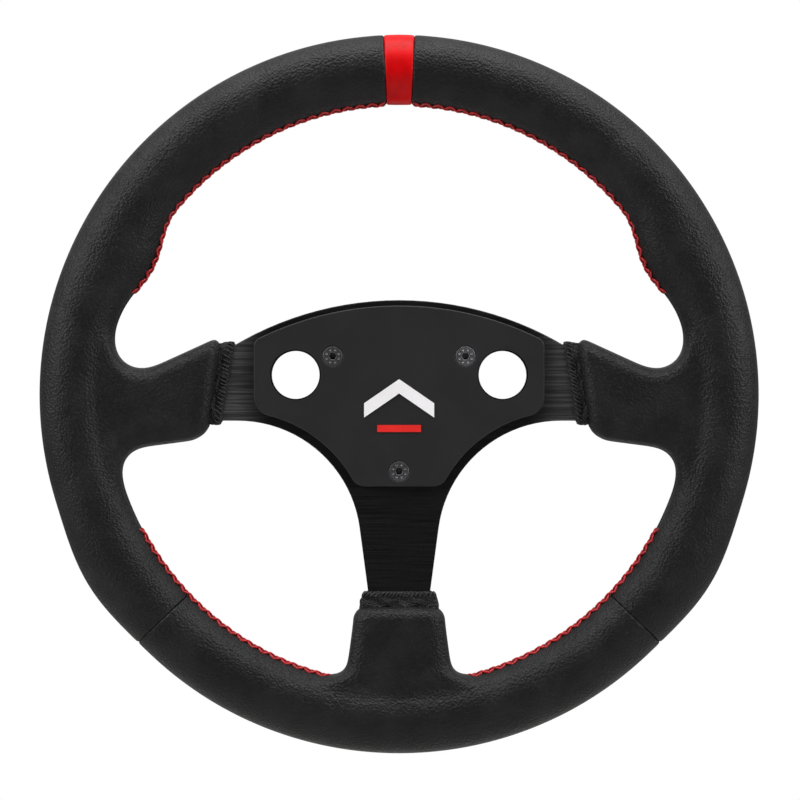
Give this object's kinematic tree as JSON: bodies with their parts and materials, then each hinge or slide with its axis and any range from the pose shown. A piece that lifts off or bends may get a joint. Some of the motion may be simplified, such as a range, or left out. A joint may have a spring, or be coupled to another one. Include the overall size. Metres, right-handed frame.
{
  "type": "quick release steering wheel",
  "caption": "Three-spoke leather racing steering wheel with thumb grips, button holes and a splined ball-lock quick release hub.",
  "frame": {"origin": "centre of the mouth of the column socket, on the steering axis", "axes": "+Y along the steering axis, out of the socket's mouth towards the column and the bulkhead; the driver faces +Y; +Z towards twelve o'clock; +X to the driver's right"},
  "size_m": [0.33, 0.0915, 0.33],
  "materials": {
    "hide": "black grained leather, satin",
    "hem": "black stitched leather edge",
    "red_hide": "smooth red leather",
    "thread": "waxed red thread",
    "foam": "moulded polyurethane foam",
    "spoke_plate": "brushed, black anodised",
    "face_plate": "fine satin, black anodised",
    "ring_steel": "black primer",
    "white_print": "printed white ink",
    "red_print": "printed red ink",
    "black_screws": "black oxide",
    "coupler": "turned, black anodised",
    "collar": "turned, red anodised",
    "steel": "turned, bright zinc",
    "ball_steel": "polished bearing steel",
    "o_ring": "black nitrile",
    "washer": "natural acetal"
  },
  "bodies": {
    "column_side": {"column_spigot": "steel", "spigot_o_ring": "o_ring", "shoulder_washer": "washer"},
    "wheel": {"rim_ring": "ring_steel", "spoke_plate": "spoke_plate", "weld_beads": "ring_steel", "rim_foam": "foam", "leather_upper_left": "hide", "leather_upper_right": "hide", "leather_lower": "hide", "marker_band": "red_hide", "hem_left": "hem", "hem_right": "hem", "hem_lower": "hem", "face_plate": "face_plate", "emblem_chevron": "white_print", "emblem_bar": "red_print", "face_screws": "black_screws", "hub_screws": "black_screws", "coupler_body": "coupler", "spline_sleeve": "steel", "sleeve_pin": "steel", "spring_seat": "steel", "collar_spring": "steel", "retaining_ring": "steel", "stitching_upper_left": "thread", "stitching_upper_right": "thread", "stitching_lower_left": "thread", "stitching_lower_right": "thread"},
    "release_collar": {"release_collar": "collar"},
    "lock_ball_1": {"lock_ball_1": "ball_steel"},
    "lock_ball_2": {"lock_ball_2": "ball_steel"},
    "lock_ball_3": {"lock_ball_3": "ball_steel"},
    "lock_ball_4": {"lock_ball_4": "ball_steel"},
    "lock_ball_5": {"lock_ball_5": "ball_steel"},
    "lock_ball_6": {"lock_ball_6": "ball_steel"}
  },
  "joints": [
    {"name": "wheel_pull_off", "type": "slide", "parent": "column_side", "child": "wheel", "axis": [0, -1, 0], "range_m": [0, 0.05]},
    {"name": "collar_slide", "type": "slide", "parent": "wheel", "child": "release_collar", "axis": [0, 1, 0], "range_m": [0, 0.006], "stiffness_N_per_m": 1000, "springref_m": 0.012, "deforming": ["collar_spring"]},
    {"name": "lock_ball_1_slide", "type": "slide", "parent": "wheel", "child": "lock_ball_1", "axis": [0, 0, 1], "range_m": [-0.0017, 0.0001]},
    {"name": "lock_ball_2_slide", "type": "slide", "parent": "wheel", "child": "lock_ball_2", "axis": [0.866, 0, 0.5], "range_m": [-0.0017, 0.0001]},
    {"name": "lock_ball_3_slide", "type": "slide", "parent": "wheel", "child": "lock_ball_3", "axis": [0.866, 0, -0.5], "range_m": [-0.0017, 0.0001]},
    {"name": "lock_ball_4_slide", "type": "slide", "parent": "wheel", "child": "lock_ball_4", "axis": [0, 0, -1], "range_m": [-0.0017, 0.0001]},
    {"name": "lock_ball_5_slide", "type": "slide", "parent": "wheel", "child": "lock_ball_5", "axis": [-0.866, 0, -0.5], "range_m": [-0.0017, 0.0001]},
    {"name": "lock_ball_6_slide", "type": "slide", "parent": "wheel", "child": "lock_ball_6", "axis": [-0.866, 0, 0.5], "range_m": [-0.0017, 0.0001]}
  ],
  "couplings": [
    {"joint": "lock_ball_1_slide", "follows": "collar_slide", "ratio": -0.26667},
    {"joint": "lock_ball_2_slide", "follows": "collar_slide", "ratio": -0.26667},
    {"joint": "lock_ball_3_slide", "follows": "collar_slide", "ratio": -0.26667},
    {"joint": "lock_ball_4_slide", "follows": "collar_slide", "ratio": -0.26667},
    {"joint": "lock_ball_5_slide", "follows": "collar_slide", "ratio": -0.26667},
    {"joint": "lock_ball_6_slide", "follows": "collar_slide", "ratio": -0.26667}
  ]
}
